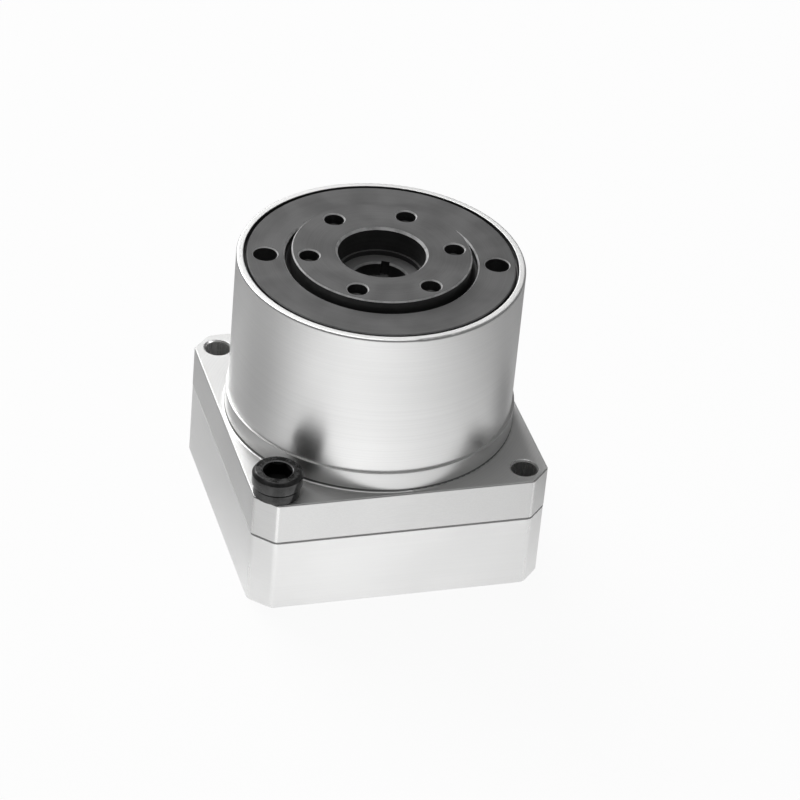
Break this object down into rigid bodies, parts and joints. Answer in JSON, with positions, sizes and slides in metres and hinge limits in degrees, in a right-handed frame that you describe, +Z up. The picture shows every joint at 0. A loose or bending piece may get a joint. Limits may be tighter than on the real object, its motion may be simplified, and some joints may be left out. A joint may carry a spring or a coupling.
{
  "type": "strain wave gearbox",
  "caption": "Compact strain wave gearbox: square flanged aluminium housing with a round barrel, black output flange with tapped holes on top and a clamped motor input below.",
  "frame": {"origin": "middle of the motor face, on the gear axis, at the bottom of the square adapter", "axes": "+Z up along the gear axis towards the output flange; -Y is the side that faces the viewer, and the fitted corner screw stands at -X -Y"},
  "size_m": [0.0602, 0.0602, 0.062],
  "materials": {
    "turned_aluminium": "fine turned aluminium, clear anodised",
    "milled_aluminium": "satin milled aluminium, lighter than the housing",
    "blackened_steel": "blackened turned steel, satin",
    "black_screw_steel": "black oxide steel, oiled",
    "bearing_steel": "ground and polished bearing steel",
    "plain_steel": "turned steel",
    "ring_gear_iron": "machined cast iron",
    "seal_rubber": "black nitrile rubber",
    "plug_plastic": "moulded black plastic",
    "cage_plastic": "moulded natural polyamide"
  },
  "bodies": {
    "housing_group": {"housing": "turned_aluminium", "motor_adapter": "milled_aluminium", "corner_screw": "black_screw_steel", "adapter_screws": "black_screw_steel", "adapter_o_ring": "seal_rubber", "access_plug": "plug_plastic", "input_bearing_outer_ring": "bearing_steel", "input_bearing_shields": "plain_steel", "bearing_circlip": "plain_steel", "circular_spline": "ring_gear_iron", "circular_spline_screws": "black_screw_steel", "lower_bearing_ring": "bearing_steel", "upper_bearing_ring": "bearing_steel", "lock_ring": "blackened_steel", "output_seal": "seal_rubber"},
    "input_group": {"input_hub": "plain_steel", "clamp_screw": "black_screw_steel", "input_bearing_inner_ring": "bearing_steel", "wave_generator_spacer": "plain_steel", "wave_generator_plug": "plain_steel", "wave_generator_washer": "plain_steel", "wave_generator_screws": "black_screw_steel", "flex_bearing_inner_race": "bearing_steel", "flex_bearing_balls": "bearing_steel", "flex_bearing_cage": "cage_plastic", "flex_bearing_outer_race": "bearing_steel"},
    "input_ball_set": {"input_bearing_balls": "bearing_steel", "input_bearing_cage": "cage_plastic"},
    "output_group": {"output_flange": "blackened_steel", "flexspline": "plain_steel", "flexspline_clamp_ring": "plain_steel", "flexspline_screws": "black_screw_steel"},
    "roller_set": {"crossed_rollers": "bearing_steel"}
  },
  "joints": [
    {"name": "input_spin", "type": "hinge", "parent": "housing_group", "child": "input_group", "pos_m": [0, 0, 0.0145], "axis": [0, 0, 1], "continuous": true, "deforming": ["flexspline"]},
    {"name": "output_spin", "type": "hinge", "parent": "housing_group", "child": "output_group", "pos_m": [0, 0, 0.05075], "axis": [0, 0, 1], "continuous": true},
    {"name": "input_ball_orbit", "type": "hinge", "parent": "housing_group", "child": "input_ball_set", "pos_m": [0, 0, 0.0145], "axis": [0, 0, 1], "continuous": true},
    {"name": "roller_orbit", "type": "hinge", "parent": "housing_group", "child": "roller_set", "pos_m": [0, 0, 0.05075], "axis": [0, 0, 1], "continuous": true}
  ],
  "couplings": [
    {"joint": "output_spin", "follows": "input_spin", "ratio": -0.02},
    {"joint": "input_ball_orbit", "follows": "input_spin", "ratio": 0.441},
    {"joint": "roller_orbit", "follows": "input_spin", "ratio": -0.0093}
  ]
}
